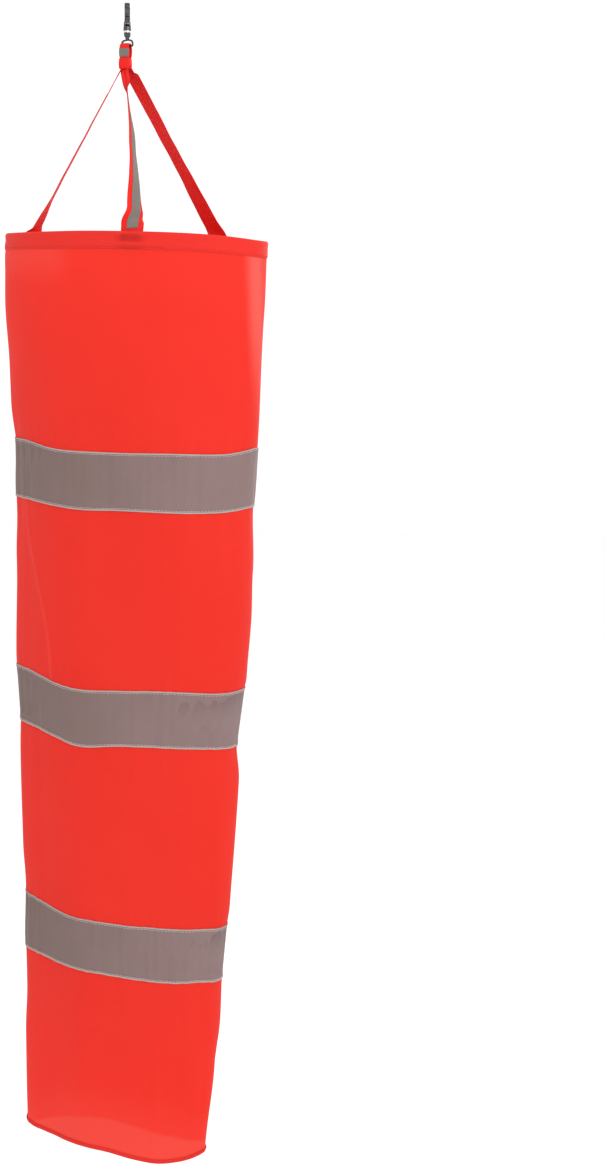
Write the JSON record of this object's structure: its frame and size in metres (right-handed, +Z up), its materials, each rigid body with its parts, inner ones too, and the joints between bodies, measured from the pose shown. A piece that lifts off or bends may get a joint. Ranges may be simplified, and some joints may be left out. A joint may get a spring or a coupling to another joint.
{
  "type": "windsock",
  "caption": "Hanging windsock: tapered oval cloth tube with reflective bands and a stiffened mouth, on a ribbon bridle with a swivel snap hook; it has no pole.",
  "frame": {"origin": "the hang point, at the top of the inside of the hook's throat", "axes": "+Z up along the line the windsock hangs on, +X along the wide side of the oval tube, -Y towards its front ribbon; the tube leans 1.5 degrees about Y so that its weight hangs below the hook"},
  "size_m": [0.2581, 0.1482, 1.0699],
  "materials": {
    "cloth": "thin fluorescent red-orange woven polyester, slightly translucent, satin",
    "hem": "the same cloth folded double and stitched",
    "reflective_tape": "grey retroreflective tape with a dull bead surface and a pale line along each edge",
    "ribbon": "red woven polyester ribbon, matt",
    "reflective_stripe": "narrow grey retroreflective strip, dull",
    "thread": "red polyester thread",
    "hoop": "white spring plastic strip",
    "hook_metal": "polished nickel plate on die-cast zinc",
    "plain_steel": "plain bright steel"
  },
  "bodies": {
    "snap_hook": {"hook_body": "hook_metal", "gate_pin": "plain_steel", "gate_spring": "plain_steel"},
    "gate": {"gate_lever": "hook_metal"},
    "eye": {"swivel_eye": "hook_metal", "swivel_washer": "plain_steel", "boss_washer": "plain_steel"},
    "mouth_section": {"hang_loop": "ribbon", "hang_loop_stripe": "reflective_stripe", "apex_wrap": "ribbon", "apex_stitch_front": "thread", "apex_stitch_back": "thread", "front_strap": "ribbon", "front_strap_stripe": "reflective_stripe", "front_tab_stitch": "thread", "left_strap": "ribbon", "left_strap_stripe": "reflective_stripe", "left_tab_stitch": "thread", "right_strap": "ribbon", "right_strap_stripe": "reflective_stripe", "right_tab_stitch": "thread", "mouth_hem": "hem", "mouth_hoop": "hoop", "hoop_joiner": "plain_steel", "cloth_length_1": "cloth", "back_seam_1": "cloth", "reflective_tape_1": "reflective_tape"},
    "second_section": {"cloth_length_2": "cloth", "back_seam_2": "cloth", "reflective_tape_2": "reflective_tape"},
    "third_section": {"cloth_length_3": "cloth", "back_seam_3": "cloth", "reflective_tape_3": "reflective_tape"},
    "tail_section": {"cloth_length_4": "cloth", "back_seam_4": "cloth", "tail_hem": "hem"}
  },
  "joints": [
    {"name": "gate_hinge", "type": "hinge", "parent": "snap_hook", "child": "gate", "pos_m": [0.00159, -0.00312, -0.0155], "axis": [-0.891, -0.454, 0], "range_deg": [0, 28], "stiffness_Nm_per_rad": 0.01, "springref_deg": -28.65},
    {"name": "swivel", "type": "hinge", "parent": "snap_hook", "child": "eye", "pos_m": [0, 0, -0.0213], "axis": [0, 0, 1], "continuous": true},
    {"name": "loop_swing", "type": "hinge", "parent": "eye", "child": "mouth_section", "pos_m": [0, 0, -0.0346], "axis": [1, 0, 0], "range_deg": [-90, 90]},
    {"name": "first_bend", "type": "hinge", "parent": "mouth_section", "child": "second_section", "pos_m": [0.00344, 0, -0.44612], "axis": [0.9997, 0, -0.0257], "range_deg": [-20, 20]},
    {"name": "second_bend", "type": "hinge", "parent": "second_section", "child": "third_section", "pos_m": [-0.00207, 0, -0.66105], "axis": [0.9997, 0, -0.0257], "range_deg": [-20, 20]},
    {"name": "third_bend", "type": "hinge", "parent": "third_section", "child": "tail_section", "pos_m": [-0.00777, 0, -0.88298], "axis": [0.9997, 0, -0.0257], "range_deg": [-20, 20]}
  ]
}
